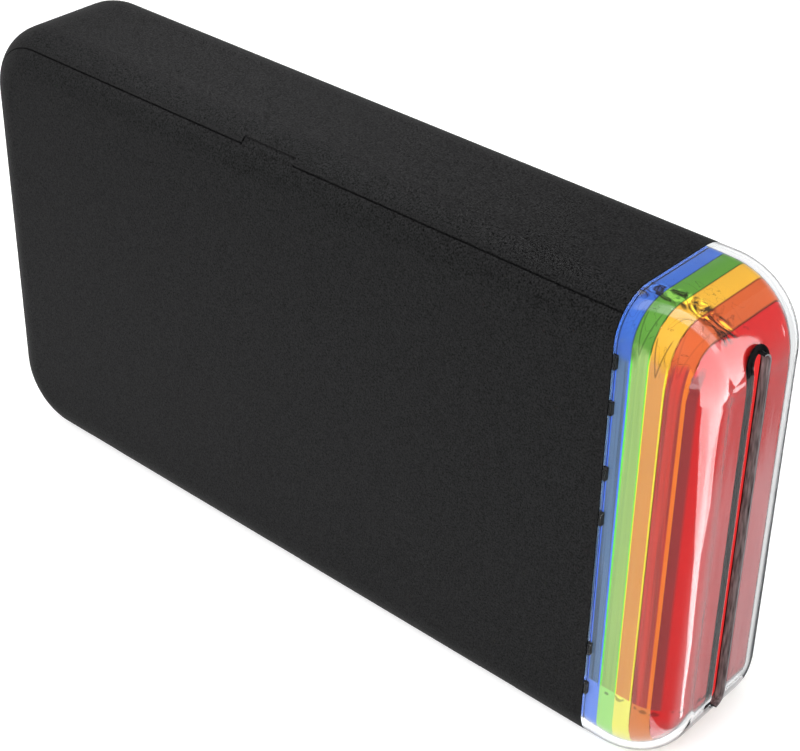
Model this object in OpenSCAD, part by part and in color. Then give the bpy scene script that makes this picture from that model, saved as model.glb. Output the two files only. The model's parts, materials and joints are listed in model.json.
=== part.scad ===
// Pocket photo printer, standing on its long narrow side. Millimetres.
// X runs towards the paper slot, Y from the hinged cover (-Y) to the back (+Y), Z up.
// The origin lies under the middle of the body, on the surface that it stands on.

/* [Body] */
// Length of the body beyond one sheet
end_room = 64; // [62:1:84]
// Thickness from the cover to the back
body_t = 27.4; // [27.2:0.2:32]
// Distance between each side plate and the outside of the body
side_room = 6.4; // [6.4:0.1:12]
// Radius of the corners, seen from the front
corner_r = 12.6; // [11:0.2:16]
// Radius that rounds the front and back edges
edge_r = 6.9; // [6.5:0.1:7.2]
// Wall of the back shell
shell_wall = 1.8; // [1.4:0.1:1.9]
// Gap in the seams between the outer pieces
seam_gap = 0.16; // [0.1:0.02:0.2]

/* [Cover] */
// Depth of the cover's seam behind the front face
seam_depth = 1.6; // [1.5:0.1:1.8]
// Thickness of the cover
cover_wall = 1.3; // [1.1:0.1:1.3]
// Radius of the hinge barrel, which lies under the surface at the seam
barrel_r = 1.6; // [1.5:0.1:1.7]
// Radius of the hinge pin
hinge_pin_r = 0.75; // [0.6:0.05:0.8]
// Width of each of the shell's three hinge knuckles
knuckle_w = 7; // [5:0.5:9]
// Distance between the knuckles
knuckle_pitch = 47; // [40:1:50]
// Length of the finger notch on the seam
notch_l = 11; // [8:0.1:14]
// Place of the notch along the body
notch_x = -7.4; // [-12:0.2:-4]
// Width of the notch across the seam
notch_w = 1; // [0.6:0.1:1.2]
// Depth of the notch
notch_depth = 0.3; // [0.2:0.1:0.6]
// Width of each snap tongue at the cover's top edge
tongue_w = 8; // [6:0.5:10]

/* [Clear end cap] */
// Length of the clear cap
cap_depth = 15.5; // [15.5:0.1:15.8]
// Wall of the clear cap
cap_wall = 1.3; // [1.1:0.1:1.5]
// Wall of the coloured rings inside the cap
ring_wall = 1.2; // [1:0.1:1.4]
// Width of the blue ring
blue_w = 2.4; // [2:0.1:2.6]
// Width of each of the green, yellow and orange rings
band_w = 2.87; // [2.6:0.01:2.9]
// Height of each clip tab along the cap's edge
clip_h = 2.1; // [1.6:0.1:2.6]
// Heights of the clip tabs, measured from the middle of the body
clip_z = [30.3, 22.8, 11.8, 3.9, -20.3, -28];

/* [Paper slot] */
// Length of the slot's mouth beyond the path of the paper
mouth_play = 5.9; // [4:0.1:7]
// Width of the slot
slot_w = 3; // [2.8:0.1:3.4]
// Place of the slot across the thickness
slot_y = -0.6; // [-0.8:0.1:0]
// Height of the slot's centre over the middle of the body
slot_rise = 0.45; // [0:0.05:0.6]
// Width of the dark flange around the slot
flange_w = 0.9; // [0.6:0.1:1.1]
// Thickness of the flange
flange_t = 0.35; // [0.2:0.05:0.45]
// Wall of the collar that lines the slot
collar_wall = 0.25; // [0.2:0.05:0.3]
// Gap that the paper runs in
path_gap = 1.7; // [1.5:0.1:1.8]
// Length of the paper's path beyond the width of a sheet
path_play = 3; // [1:0.5:5]

/* [Paper and ribbon] */
// Length of one sheet
paper_l = 86; // [82:1:86]
// Width of one sheet
paper_w = 54; // [50:1:54]
// Thickness of one sheet
sheet_t = 0.25; // [0.2:0.01:0.26]
// Number of sheets in a full cartridge
sheet_count = 10; // [4:1:12]
// Radius of the full ribbon roll
supply_r = 4; // [3.4:0.1:4]
// Radius of the wound part on the take-up spool
takeup_r = 2.9; // [2.4:0.1:3]
// Wall of the cartridge
cartridge_wall = 1.2; // [1:0.1:1.3]

/* [Rollers] */
// Radius of the platen roller
platen_r = 4.5; // [4.3:0.05:4.6]
// Radius of the grip roller
grip_r = 2.6; // [2.4:0.05:2.7]
// Radius of the pinch roller
pinch_r = 1.5; // [1.3:0.05:1.55]
// Radius of the pick-up tyres
pickup_r = 3; // [2.8:0.05:3.1]
// Radius of the roller shafts
shaft_r = 1.5; // [1.2:0.05:1.5]
// Distance from the clear cap to the platen's axis
platen_back = 18.1; // [18:0.1:19]
// Gap between each roller and a sheet
nip_gap = 0.15; // [0.1:0.01:0.2]
// Gap between a turning shaft and its bore
run_gap = 0.05; // [0.03:0.01:0.08]

/* [Gears] */
// Tooth module
tooth_m = 0.4; // [0.38:0.01:0.41]
// Thickness of one gear
gear_t = 1.1; // [0.9:0.05:1.1]
// Play between two teeth
backlash = 0.1; // [0.08:0.01:0.14]
// Teeth of the motor pinion
pinion_teeth = 10; // [9:1:10]
// Teeth of the reduction gear's large wheel
big_teeth = 28; // [26:1:28]
// Teeth of the reduction gear's small wheel
small_teeth = 12; // [12:1:13]
// Teeth of the platen gear
platen_teeth = 24; // [22:1:24]
// Teeth of the feed idler
feed_teeth = 12; // [12:1:13]
// Teeth of the grip roller's gear
grip_teeth = 14; // [14:1:15]
// Teeth of the pick-up idler
reach_teeth = 20; // [19:1:20]
// Teeth of the pick-up gear
pickup_teeth = 20; // [18:1:20]
// Teeth of the take-up idler
wind_teeth = 14; // [13:1:14]
// Teeth of the take-up gear
takeup_teeth = 16; // [15:1:16]

/* [Frame and drive] */
// Distance between the cartridge and each side plate
plate_room = 4.8; // [4.8:0.05:4.9]
// Thickness of the side plates
plate_t = 0.8; // [0.6:0.1:0.8]
// Thickness of the chassis floor
floor_t = 1.2; // [1:0.1:1.3]
// Place of the chassis floor across the thickness
floor_y = 5.2; // [5.2:0.05:5.3]
// Radius of the drive motor
motor_r = 3.9; // [3.4:0.1:3.9]
// Length of the drive motor
motor_l = 22; // [16:1:26]
// Width of the print head
head_w = 8; // [7:0.1:8]
// Radius of the head bracket's pivot pins
pivot_r = 1; // [0.8:0.05:1.1]

/* [Power and controls] */
// Length of the battery
battery_l = 46; // [36:1:48]
// Thickness of the battery
battery_t = 4.4; // [3.6:0.1:4.5]
// Length of the main board
board_l = 42; // [38:1:43]
// Thickness of the main board
board_t = 1; // [0.8:0.1:1.2]
// Length of the power button
button_l = 9; // [7:0.2:10]
// Width of the power button
button_w = 3.4; // [3:0.1:3.6]
// Height of the power button over the middle of the body
button_rise = 18; // [16:0.5:20]
// Travel of the power button
button_travel = 0.5; // [0.3:0.1:0.6]
// Distance of the charging port below the middle of the body
port_drop = 14; // [12:0.5:16]

/* [Hidden] */
$fn = 48;

// Depth that joined solids share, length that a cut runs past a face, and gap between fixed pieces
overlap = 0.02;
cut = 1;
fit_gap = 0.2;
far = 300;

// The sheet sets the size of the cartridge, the side plates and the body.
side_play = 0.6;
tub_half = paper_w / 2 + side_play + cartridge_wall;
plate_span = 2 * (tub_half + plate_room);
body_l = paper_l + end_room;
body_h = plate_span + 2 * side_room;
mid_z = body_h / 2;
front_y = -body_t / 2;
back_y = body_t / 2;
left_x = -body_l / 2;
right_x = body_l / 2;
cap_x = right_x - cap_depth;
body_end = cap_x - seam_gap / 2;
cap_start = cap_x + seam_gap / 2;
seam_y = front_y + seam_depth;
inner_back = back_y - shell_wall;

// The hinge axis lies one barrel radius under the outer surface at the seam.
seam_in = edge_r - seam_depth;
seam_rise = sqrt(edge_r * edge_r - seam_in * seam_in);
hinge_share = 1 - barrel_r / edge_r;
hinge_y = front_y + edge_r - seam_in * hinge_share;
hinge_z = edge_r - seam_rise * hinge_share;
hinge_clear = 0.6;
knuckle_gap = 0.2;
knuckle_r = barrel_r - 0.25;
knuckle_clear = 0.3;
knuckle_shift = -5;
pin_seat = 0.02;
pin_end = 2;
hinge_left = left_x + corner_r / 2;
knuckles_x = [for (k = [-1 : 1]) k * knuckle_pitch + knuckle_shift];
tongues_x = [for (step = [-38, 0, 39]) notch_x + step];
tongue_t = 1.1;
tongue_drop = 6.1;
tongue_z = body_h - tongue_drop;
tongue_reach = 2;
ledge_y = seam_y + 0.6;
ledge_t = 0.6;
ledge_gap = 0.15;
relief_y = hinge_y + barrel_r + 0.5;
mouth_rim = 4.8;
rib_w = 4;
rib_rise = 18;
rib_x = [1, 7];
status_drop = 9;
status_rise = button_rise - status_drop;
status_r = 0.8;
status_l = 5.2;

// Insets of the nested shells inside the clear cap
ring_gap = 0.15;
ring_out = cap_wall + ring_gap;
ring_in = ring_out + ring_wall;
ring_play = 0.03;
sleeve_out = ring_in + 0.1;
sleeve_in = sleeve_out + 1;
green_x = cap_x + blue_w;
yellow_x = green_x + band_w;
orange_x = yellow_x + band_w;
red_x = orange_x + band_w;
bulkhead_t = 1.4;
bulkhead_x = body_end - bulkhead_t;
bulkhead_gap = 0.2;
clip_t = 0.4;
clip_sink = 0.2;
clip_clear = 0.1;
clip_depth = 1.1;
clip_neck = 0.9;
collar_gap = 0.05;
collar_sink = 0.05;

// The paper runs along the near side of the slot.
path_l = paper_w + path_play;
slot_l = path_l + mouth_play;
slot_z = mid_z + slot_rise;
path_y = slot_y - slot_w / 2 + path_gap / 2;
guide_wall = 0.8;
guide_edge = 1;
guide_start = 1.4;
guide_lap = 0.6;
feed_face = path_y + sheet_t / 2;
print_face = path_y - sheet_t / 2;

// Gear centres: each one is placed from the gear that drives it.
function pitch_r(teeth) = tooth_m * teeth / 2;
function gear_step(from, a, b, angle) =
    from + (pitch_r(a) + pitch_r(b)) * [cos(angle), sin(angle)];
function level_angle(from, a, b, y) =
    180 - asin((y - from[1]) / (pitch_r(a) + pitch_r(b)));
function mesh_turn(angle, turn, a, b) = angle + 180 - 180 / b - a / b * (turn - angle);

platen_y = feed_face + nip_gap + platen_r;
grip_y = feed_face + nip_gap + grip_r;
pickup_y = feed_face + nip_gap + pickup_r;
pinch_y = print_face - nip_gap - pinch_r;
reduction_angle = -17;
motor_angle = 46;
wind_angle = -18;
takeup_angle = -100;
feed_angle = 157;
platen_c = [cap_x - platen_back, platen_y];
reduction_c = gear_step(platen_c, platen_teeth, small_teeth, reduction_angle);
motor_c = gear_step(reduction_c, big_teeth, pinion_teeth, motor_angle);
wind_c = gear_step(reduction_c, small_teeth, wind_teeth, wind_angle);
takeup_c = gear_step(wind_c, wind_teeth, takeup_teeth, takeup_angle);
feed_c = gear_step(platen_c, platen_teeth, feed_teeth, feed_angle);
grip_angle = level_angle(feed_c, feed_teeth, grip_teeth, grip_y);
grip_c = gear_step(feed_c, feed_teeth, grip_teeth, grip_angle);
reach_c = gear_step(grip_c, grip_teeth, reach_teeth, 180);
pickup_angle = level_angle(reach_c, reach_teeth, pickup_teeth, pickup_y);
pickup_c = gear_step(reach_c, reach_teeth, pickup_teeth, pickup_angle);
pinch_c = [grip_c[0], pinch_y];
reduction_turn = mesh_turn(reduction_angle, 0, platen_teeth, small_teeth);
motor_turn = mesh_turn(motor_angle, reduction_turn, big_teeth, pinion_teeth);
wind_turn = mesh_turn(wind_angle, reduction_turn, small_teeth, wind_teeth);
takeup_turn = mesh_turn(takeup_angle, wind_turn, wind_teeth, takeup_teeth);
feed_turn = mesh_turn(feed_angle, 0, platen_teeth, feed_teeth);
grip_turn = mesh_turn(grip_angle, feed_turn, feed_teeth, grip_teeth);
reach_turn = mesh_turn(180, grip_turn, grip_teeth, reach_teeth);
pickup_turn = mesh_turn(pickup_angle, reach_turn, reach_teeth, pickup_teeth);

// Heights of the side plates and of the two gear layers over the upper one
plate_low = mid_z - plate_span / 2;
plate_high = mid_z + plate_span / 2;
gear_low = plate_high + plate_t + 0.4;
gear_high = gear_low + gear_t + 0.3;
shaft_top = gear_low + gear_t;
shaft_foot = plate_low - plate_t - 0.6;
bush_r = shaft_r + 0.8;
bush_lip = 1;
bush_fit = 0.02;
journal_r = 0.9;
journal_end = 0.5;
journal_clear = 0.5;
holder_w = 4.4;
holder_t = 2;
stud_r = 1;
hub_wall = 0.8;
roller_l = paper_w - 1;
tyre_l = 8;
tyre_rise = 10;
spindle_r = 0.5;
spindle_sink = 0.9;
pinion_bore = 0.4;
motor_boss_r = 1.5;
motor_end_r = 2;
motor_end_l = 1;

// The cartridge lies between the side plates, with two arms that hold the spools.
sheet_play = 0.4;
stack_past = 2.4;
stack_x1 = pickup_c[0] + stack_past;
stack_x0 = stack_x1 - paper_l;
tub_x0 = stack_x0 - sheet_play - cartridge_wall;
tub_x1 = stack_x1 + sheet_play + cartridge_wall;
stack_rest = 0.03;
tub_floor = feed_face + stack_rest;
tub_floor_t = 0.8;
window_play = 0.6;
exit_play = 0.3;
exit_drop = 0.6;
lid_t = 0.8;
lid_y = front_y + cover_wall + 1.8;
tub_y = lid_y + lid_t;
arm_y = print_face - 3.2;
arm_gap = 0.4;
arm_x1 = bulkhead_x - arm_gap;
post_w = 1.8;
tie_t = 0.9;
tie_w = 3;
flange_r = supply_r + 0.4;
hub_r = 1.2;
hub_bore = 0.8;
rim_t = 0.5;
spool_play = 0.2;
spool_half = tub_half - cartridge_wall - spool_play;
ribbon_half = spool_half - 0.6;
core_r = 2;
supply_c = [tub_x1 + arm_gap + flange_r, takeup_c[1]];
stack_t = sheet_count * sheet_t;
pressure_t = 0.8;
pressure_y = feed_face - stack_t - run_gap;
spring_t = 0.4;
spring_w = 12;
spring_flats = [8, 22, 26];

// The ribbon runs under two guide bars and the print head.
ribbon_t = 0.1;
ribbon_y = print_face - 0.375;
bar_r = 0.5;
bar_y = ribbon_y - ribbon_t / 2 - run_gap - bar_r;
bar_shift = [0.6, 0.2];
bar_sink = 0.5;
head_t = 1.2;
head_y = ribbon_y - ribbon_t / 2 - 0.4 - head_t;
head_x0 = platen_c[0] - 3;
head_x1 = head_x0 + head_w;
bar_x = [head_x0 - 1.2, head_x1 + 1];
head_line_r = 0.2;
fin_w = 1;
fin_pitch = 2;
fin_edge = 1.6;
sink_edge = 0.5;
sink_web = [1, 2];

// The head bracket swings out about two pins near the bulkhead.
bracket_t = 0.8;
bracket_y = front_y + cover_wall + 1.2;
pivot_c = [takeup_c[0] + 2.4, bracket_y + 1.8];
bracket_arm_w = 2.6;
bracket_eye_r = 1.8;
bracket_gap = 1;
pin_reach = 4.4;
coil_wire = 0.3;
coil_pitch = 0.6;
coil_start = 2.5;
sink_y = bracket_y + bracket_t;

// Places on the chassis
boss_r = 2.6;
boss_gap = 0.05;
screw_r = 1;
screw_l = 5;
screw_head_r = 1.9;
screw_head_t = 1.1;
cross_l = 2;
cross_w = 0.4;
cross_depth = 0.6;
screw_inset = 13;
screw_back = 9.8;
screw_x = [left_x + screw_inset, pickup_c[0] - screw_back];
floor_past = 10.2;
floor_x1 = pickup_c[0] + floor_past;
floor_gap = 0.4;
rail_t = 1.3;
rail_gap = 0.3;
rail_in = tub_half + rail_gap;
rail_x0 = tub_x0 - rail_gap - rail_t;
rail_x1 = screw_x[1] + screw_r;
screw_drop = rail_in + rail_t + screw_head_r + 0.1;
corner_l = 8;
standoff_r = 1.6;
standoff_rise = 22;
window_x = 10.5;
gear_notch = 6;
screw_play = 0.15;
window_z = [-21, 25];
port_y = floor_y + 0.2;
board_y = floor_y + floor_t + 0.6;
board_x0 = left_x + 3.6;
board_half = 26;
standoff_x = [board_x0 + 6, board_x0 + board_l - 5];
board_top = board_y + board_t;
front_cut = front_y + 4.7;
plate_x0 = pickup_c[0] - 4.6;
plate_x1 = bulkhead_x - fit_gap;
plate_back_gap = 0.3;
ear_w = 4;
sensor_x = pickup_c[0] + 2.8;
sensor_half = 2;
sensor_t = 1.2;
sensor_l = 2.6;
magnet_t = 1;
magnet_r = 1.4;
magnet_drop = 2.4;
guide_outer = path_gap + 2 * guide_wall + fit_gap;
guide_l = path_l + 2 * guide_wall + fit_gap;
ribbon_gap = 0.2;
battery_x0 = board_x0 + board_l + 3.4;
battery_half = 25;
battery_y = board_y - 0.4;
plug_l = 4;
plug_half = 4;
plug_t = 2.2;
plug_x1 = board_x0 + board_l - 0.6;
switch_t = 3.2;
switch_half = 2.5;
// Chips on the board: place along X, place along Z, length, width and height of each
CHIPS = [[14, -6, 10, 10, 1.1], [28, -16, 7, 8, 1.4], [10, -20, 6, 6, 2], [20, 10, 12, 12, 1]];
lead_r = 0.5;
lead_pitch = 2.4;
button_lip = 1.2;
button_x1 = left_x + shell_wall + 1;
switch_gap = 0.6;
switch_x1 = left_x + shell_wall + 5;
port_l = 9;
port_w = 3.2;
port_wall = 0.3;
port_depth = 7.6;
port_tongue = 6.6;
port_inset = 0.4;
port_lead = 1.2;
port_end = 0.8;
tongue_half = 0.35;

// A slab rounded at its four corners and along its front and back edges, smaller by inset all round
module rounded_rect(w, h, r) {
    square([w - 2 * r, h], center = true);
    square([w, h - 2 * r], center = true);
    for (sx = [-1, 1], sy = [-1, 1])
        translate([sx * (w / 2 - r), sy * (h / 2 - r)])
            circle(r);
}

module slab(inset) {
    l = body_l - 2 * inset;
    t = body_t - 2 * inset;
    h = body_h - 2 * inset;
    cr = corner_r - inset;
    er = edge_r - inset;
    translate([0, 0, mid_z]) {
        translate([cr - l / 2, 0, 0])
            rotate([90, 0, 90])
                linear_extrude(l - 2 * cr)
                    rounded_rect(t, h, er);
        translate([0, 0, cr - h / 2])
            linear_extrude(h - 2 * cr)
                rounded_rect(l, t, er);
        for (sx = [-1, 1], sz = [-1, 1])
            translate([sx * (l / 2 - cr), 0, sz * (h / 2 - cr)])
                rotate([90, 0, 0])
                    rotate_extrude()
                        intersection() {
                            rounded_rect(2 * cr, t, er);
                            translate([0, -t])
                                square([2 * cr, 2 * t]);
                        }
    }
}

module shell(outer, inner, x0, x1) {
    intersection() {
        difference() {
            slab(outer);
            slab(inner);
        }
        translate([x0, -far / 2, -far / 2])
            cube([x1 - x0, far, far]);
    }
}

module box(low, high) {
    translate(low)
        cube(high - low);
}

// A bar with round ends whose length runs along Z and whose depth runs from x0 to x1
module stadium_bar(x0, x1, y, z, w, l) {
    translate([x0, y, z])
        rotate([90, 0, 90])
            linear_extrude(x1 - x0) {
                square([w, l - w], center = true);
                for (s = [-1, 1])
                    translate([0, s * (l - w) / 2])
                        circle(w / 2);
            }
}

module rod(c, z0, z1, r) {
    translate([c[0], c[1], z0])
        cylinder(h = z1 - z0, r = r);
}

module tube(c, z0, z1, r, bore) {
    difference() {
        rod(c, z0, z1, r);
        rod(c, z0 - 1, z1 + 1, bore);
    }
}

// Involute spur gear
function inv_angle(r, base) = base >= r ? 0 :
    sqrt(r * r / (base * base) - 1) * 180 / PI - acos(base / r);
function half_tooth(r, teeth) =
    90 / teeth - backlash / (4 * pitch_r(teeth)) * 180 / PI
    + inv_angle(pitch_r(teeth), pitch_r(teeth) * cos(20))
    - inv_angle(r, pitch_r(teeth) * cos(20));
function tooth_point(r, angle) = [r * cos(angle), r * sin(angle)];

module gear_outline(teeth) {
    p = pitch_r(teeth);
    rings = [p - 1.2 * tooth_m, p - 0.5 * tooth_m, p, p + 0.5 * tooth_m, p + 0.9 * tooth_m];
    last = len(rings) - 1;
    polygon([for (k = [0 : teeth - 1])
        each concat(
            [for (i = [0 : last]) tooth_point(rings[i], 360 * k / teeth - half_tooth(rings[i], teeth))],
            [for (i = [last : -1 : 0]) tooth_point(rings[i], 360 * k / teeth + half_tooth(rings[i], teeth))]
        )]);
}

module gear(c, z, teeth, turn, bore) {
    translate([c[0], c[1], z])
        difference() {
            rotate(turn)
                linear_extrude(gear_t)
                    gear_outline(teeth);
            translate([0, 0, -1])
                cylinder(h = gear_t + 2, r = bore);
        }
}

// Outer pieces

module hinge_barrel(x0, x1, r) {
    translate([x0, hinge_y, hinge_z])
        rotate([0, 90, 0])
            cylinder(h = x1 - x0, r = r);
}

module base_shell() {
    color("#2b2b2c")
    difference() {
        union() {
            difference() {
                shell(0, shell_wall, left_x, body_end);
                box([-far, -far, -far], [far, seam_y + seam_gap / 2, far]);
                box([hinge_left, -far, -far], [far, relief_y, hinge_z + barrel_r + hinge_clear]);
                // Opening that the cover closes
                translate([0, front_y + shell_wall + cut, mid_z])
                    rotate([90, 0, 0])
                        linear_extrude(shell_wall)
                            rounded_rect(body_l - 2 * mouth_rim, body_h - 2 * mouth_rim,
                                corner_r - mouth_rim);
            }
            for (x = knuckles_x) {
                hinge_barrel(x - knuckle_w / 2, x + knuckle_w / 2, knuckle_r);
                box([x - knuckle_w / 2, hinge_y, hinge_z - knuckle_r],
                    [x + knuckle_w / 2, relief_y + cut, hinge_z + knuckle_r]);
            }
            for (x = screw_x, s = [-1, 1])
                translate([x, floor_y + floor_t + boss_gap, mid_z + s * screw_drop])
                    rotate([-90, 0, 0])
                        cylinder(h = inner_back - floor_y - floor_t, r = boss_r);
            for (x = tongues_x)
                intersection() {
                    slab(shell_wall / 2);
                    box([x - tongue_w / 2, ledge_y, tongue_z + tongue_t + ledge_gap],
                        [x + tongue_w / 2, ledge_y + ledge_t, body_h]);
                }
        }
        // Finger notch in the edge of the seam
        difference() {
            box([notch_x - notch_l / 2, seam_y - cut, body_h - edge_r],
                [notch_x + notch_l / 2, seam_y + notch_w, body_h]);
            slab(notch_depth);
        }
        hinge_barrel(left_x, right_x, hinge_pin_r + pin_seat);
        for (x = screw_x, s = [-1, 1])
            translate([x, floor_y, mid_z + s * screw_drop])
                rotate([-90, 0, 0])
                    cylinder(h = screw_l + cut / 2, r = screw_r);
        stadium_bar(left_x - cut, left_x + shell_wall + cut, port_y, mid_z + button_rise,
            button_w + 2 * fit_gap, button_l + 2 * fit_gap);
        stadium_bar(left_x - cut, left_x + shell_wall + cut, port_y, mid_z - port_drop,
            port_w + 2 * fit_gap, port_l + 2 * fit_gap);
        translate([left_x - cut, port_y, mid_z + status_rise])
            rotate([0, 90, 0])
                cylinder(h = shell_wall + 2 * cut, r = status_r + fit_gap / 2);
    }
}

module cartridge_cover() {
    color("#2a2a2b") {
        difference() {
            union() {
                intersection() {
                    shell(0, cover_wall, left_x, body_end);
                    box([-far, -far, -far], [far, seam_y - seam_gap / 2, far]);
                }
                intersection() {
                    slab(0);
                    hinge_barrel(hinge_left + hinge_clear, bulkhead_x - bulkhead_gap, barrel_r);
                }
                // Ribs that hold the head bracket down
                for (s = [-1, 1])
                    translate([head_x0 + rib_x[0], front_y + cover_wall - overlap,
                        mid_z + s * rib_rise - rib_w / 2])
                        cube([rib_x[1] - rib_x[0], bracket_y - fit_gap - front_y - cover_wall + overlap,
                            rib_w]);
            }
            for (x = knuckles_x)
                hinge_barrel(x - knuckle_w / 2 - knuckle_gap, x + knuckle_w / 2 + knuckle_gap,
                    knuckle_r + knuckle_clear);
            hinge_barrel(left_x - cut, right_x, hinge_pin_r + run_gap);
        }
        // Snap tongues behind the shell's edge
        for (x = tongues_x)
            box([x - tongue_w / 2, front_y + cover_wall - overlap, tongue_z],
                [x + tongue_w / 2, seam_y + tongue_reach, tongue_z + tongue_t]);
    }
}

module hinge_pin() {
    color("silver")
    hinge_barrel(knuckles_x[0] - knuckle_w / 2 - pin_end, knuckles_x[2] + knuckle_w / 2 + pin_end,
        hinge_pin_r);
}

module cover_magnet() {
    color("gray")
    translate([sensor_x, front_y + cover_wall, plate_high - magnet_drop])
        rotate([-90, 0, 0])
            cylinder(h = magnet_t, r = magnet_r);
}

module clip_tabs(grow) {
    for (z = clip_z, s = [-1, 1]) {
        h = clip_h / 2 + grow;
        y0 = body_t / 2 - clip_sink;
        y1 = body_t / 2 - shell_wall - clip_depth - grow;
        box([cap_start - grow, s < 0 ? -y0 - 2 * grow : y1, mid_z + z - h],
            [cap_start + clip_t + grow, s < 0 ? -y1 : y0 + 2 * grow, mid_z + z + h]);
    }
}

module end_frame() {
    color("#202021") {
        difference() {
            union() {
                intersection() {
                    slab(shell_wall + bulkhead_gap);
                    box([bulkhead_x, -far, -far], [body_end, far, far]);
                }
                shell(sleeve_out, sleeve_in, body_end - overlap, red_x - fit_gap);
            }
            stadium_bar(bulkhead_x - cut, right_x, path_y, slot_z, guide_outer, guide_l);
            translate([body_end - far, 0, 0])
                hinge_barrel(0, far, barrel_r + hinge_clear);
        }
        // Clip tabs that hold the clear cap
        difference() {
            union() {
                clip_tabs(0);
                for (z = clip_z, s = [-1, 1])
                    translate([body_end - overlap,
                        s < 0 ? front_y + shell_wall + clip_clear : inner_back - clip_clear - clip_neck,
                        mid_z + z - clip_h / 2])
                        cube([seam_gap + 2 * overlap, clip_neck, clip_h]);
            }
            slab(sleeve_in - fit_gap);
        }
    }
}

module clear_end_cap() {
    color("#e8f0f4", 0.3)
    difference() {
        shell(0, cap_wall, cap_start, right_x);
        slot_hole(cap_start, right_x + cut, slot_w + 2 * (collar_wall + collar_gap),
            slot_l + 2 * (collar_wall + collar_gap));
        clip_tabs(clip_clear);
    }
}

module slot_hole(x0, x1, w, l) {
    stadium_bar(x0, x1, slot_y, slot_z, w, l);
}

module ring(x0, x1) {
    shell(ring_out, ring_in, x0, x1 - ring_play);
}

module blue_ring() {
    color("#4068cd")
    difference() {
        ring(cap_start, green_x);
        clip_tabs(clip_clear);
    }
}

module green_ring() {
    color("#5a9b37")
    ring(green_x, yellow_x);
}

module yellow_ring() {
    color("#f0d23c")
    ring(yellow_x, orange_x);
}

module orange_ring() {
    color("#e2662a")
    ring(orange_x, red_x);
}

module red_end_insert() {
    flange_gap = 2 * (flange_w + collar_wall + collar_gap);
    color("#d03030")
    difference() {
        shell(ring_out, ring_in, red_x, right_x);
        stadium_bar(red_x, right_x, path_y, slot_z, path_gap, path_l);
        stadium_bar(red_x - cut, right_x - ring_in, path_y, slot_z, guide_outer, guide_l);
        difference() {
            slot_hole(red_x, right_x, slot_w + flange_gap, slot_l + flange_gap);
            slab(ring_out + flange_t + collar_gap);
        }
    }
}

module slot_bezel() {
    color("#1c1c1e")
    difference() {
        union() {
            intersection() {
                slab(ring_out);
                difference() {
                    slot_hole(red_x, right_x, slot_w + 2 * (flange_w + collar_wall),
                        slot_l + 2 * (flange_w + collar_wall));
                    slab(ring_out + flange_t);
                }
            }
            intersection() {
                slab(collar_sink);
                difference() {
                    slot_hole(red_x, right_x, slot_w + 2 * collar_wall, slot_l + 2 * collar_wall);
                    slab(ring_out + flange_t);
                }
            }
        }
        slot_hole(red_x, right_x + cut, slot_w, slot_l);
    }
}

module exit_guide() {
    color("#28282a")
    difference() {
        union() {
            stadium_bar(bulkhead_x - guide_lap, right_x - ring_in - fit_gap / 2, path_y, slot_z,
                guide_outer - fit_gap, guide_l - fit_gap);
            box([platen_c[0] + platen_r + guide_start, path_y + path_gap / 2,
                slot_z - path_l / 2 + guide_edge],
                [bulkhead_x - guide_lap + fit_gap, path_y + path_gap / 2 + guide_wall,
                    slot_z + path_l / 2 - guide_edge]);
        }
        stadium_bar(bulkhead_x - cut, right_x, path_y, slot_z, path_gap, path_l);
    }
}

module feed_guide() {
    color("#28282a")
    box([tub_x1 + arm_gap, path_y + path_gap / 2, plate_low],
        [grip_c[0] - grip_r - guide_lap, path_y + path_gap / 2 + guide_wall, plate_high]);
}

// Controls and electronics

module power_button() {
    color("#3a3a3c") {
        stadium_bar(left_x, left_x + shell_wall + fit_gap + overlap, port_y, mid_z + button_rise,
            button_w, button_l);
        stadium_bar(left_x + shell_wall + fit_gap, button_x1, port_y, mid_z + button_rise,
            button_w + button_lip, button_l + button_lip);
    }
}

module status_light() {
    color("white")
    translate([left_x, port_y, mid_z + status_rise])
        rotate([0, 90, 0])
            cylinder(h = status_l, r = status_r);
}

module usb_socket() {
    color("silver")
    difference() {
        stadium_bar(left_x + port_inset, left_x + port_depth, port_y, mid_z - port_drop, port_w, port_l);
        stadium_bar(left_x, left_x + port_depth - port_end, port_y, mid_z - port_drop,
            port_w - 2 * port_wall, port_l - 2 * port_wall);
    }
    color("#222222")
    translate([left_x + port_lead, port_y - tongue_half, mid_z - port_drop - port_tongue / 2])
        cube([port_depth - port_end - port_lead + fit_gap, 2 * tongue_half, port_tongue]);
}

module screw_places(grow) {
    for (x = screw_x, s = [-1, 1])
        translate([x, floor_y, mid_z + s * screw_drop])
            rotate([-90, 0, 0])
                cylinder(h = 4 * screw_l, r = screw_r + grow, center = true);
}

module chassis_frame() {
    color("#4a4c50")
    difference() {
        union() {
            intersection() {
                slab(shell_wall + floor_gap);
                box([left_x, floor_y, 0], [floor_x1, floor_y + floor_t, body_h]);
            }
            for (s = [-1, 1])
                mirror_z(s)
                    box([rail_x0, tub_y, rail_in], [rail_x1, floor_y + overlap, rail_in + rail_t]);
            for (s = [-1, 1])
                mirror_z(s)
                    box([rail_x0, tub_y, rail_in - corner_l],
                        [rail_x0 + rail_t, floor_y + overlap, rail_in + rail_t]);
            for (x = standoff_x, s = [-1, 1])
                translate([x, floor_y + floor_t - overlap, mid_z + s * standoff_rise])
                    rotate([-90, 0, 0])
                        cylinder(h = board_y - floor_y - floor_t + overlap, r = standoff_r);
        }
        screw_places(screw_play);
        // Window for the button, the light and the charging port
        box([left_x, floor_y - cut, mid_z + window_z[0]],
            [left_x + window_x, floor_y + floor_t + cut, mid_z + window_z[1]]);
        // Notch for the gears
        box([pickup_c[0] - gear_notch, floor_y - cut, plate_high + plate_t + fit_gap],
            [far, floor_y + floor_t + cut, far]);
    }
}

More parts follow.
